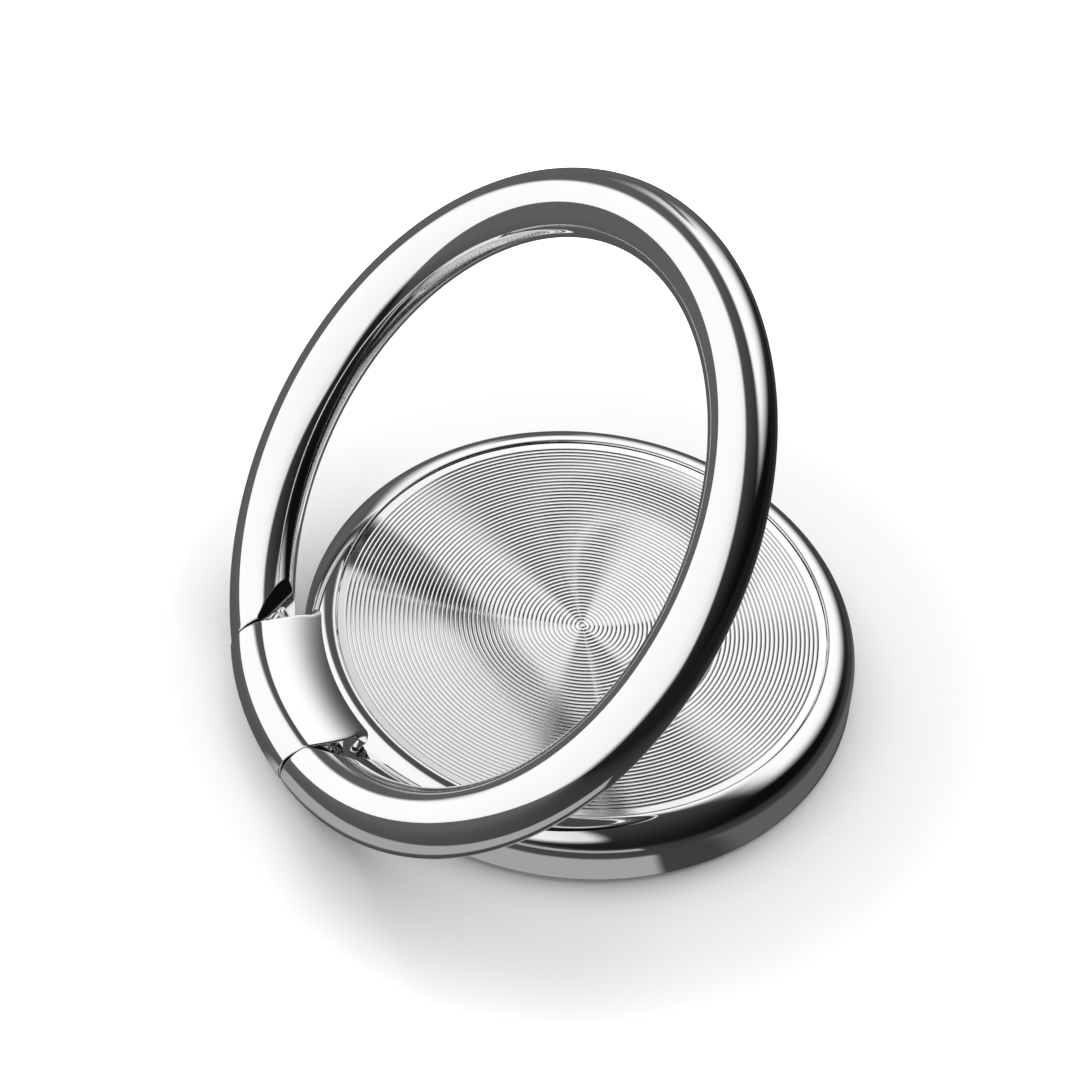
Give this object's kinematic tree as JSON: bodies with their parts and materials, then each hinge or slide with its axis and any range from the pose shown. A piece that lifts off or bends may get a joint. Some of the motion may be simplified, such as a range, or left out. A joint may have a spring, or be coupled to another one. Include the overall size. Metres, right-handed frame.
{
  "type": "phone ring holder",
  "caption": "Chrome phone ring holder: an oval-section finger ring hinged to a round swivelling body with a turned aluminium inlay, on a base plate with an adhesive pad.",
  "frame": {"origin": "middle of the adhesive pad's underside, on the phone's surface and on the swivel axis", "axes": "+Z points away from the phone; the ring's hinge lies on the -X side and runs along Y; +Y is along the hinge"},
  "size_m": [0.0407, 0.0454, 0.0351],
  "materials": {
    "ring_chrome": "polished chrome plating",
    "body_chrome": "polished chrome plating",
    "turned_aluminium": "turned with fine circular grooves",
    "adhesive_film": "double-sided film",
    "bright_steel": "zinc plated, fine turning marks",
    "spring_steel": "spring steel strip",
    "plate_steel": "pressed steel sheet",
    "washer_plastic": "black nylon",
    "glide_plastic": "natural acetal",
    "pad_foam": "closed-cell foam tape"
  },
  "bodies": {
    "base": {"base_plate": "plate_steel", "adhesive_pad": "pad_foam", "swivel_rivet": "bright_steel", "rivet_washer": "bright_steel", "wave_washer": "spring_steel", "glide_washer": "glide_plastic"},
    "swivel": {"swivel_body": "body_chrome", "inlay_disc": "turned_aluminium", "inlay_film": "adhesive_film", "hinge_pin": "bright_steel", "hinge_washer_left": "washer_plastic", "hinge_washer_right": "washer_plastic"},
    "ring": {"finger_ring": "ring_chrome"}
  },
  "joints": [
    {"name": "swivel_turn", "type": "hinge", "parent": "base", "child": "swivel", "pos_m": [0, 0, 0.0025], "axis": [0, 0, 1], "continuous": true},
    {"name": "ring_flip", "type": "hinge", "parent": "swivel", "child": "ring", "pos_m": [-0.01993, 0, 0.0022], "axis": [0, -1, 0], "range_deg": [-49.5, 130.5]}
  ]
}
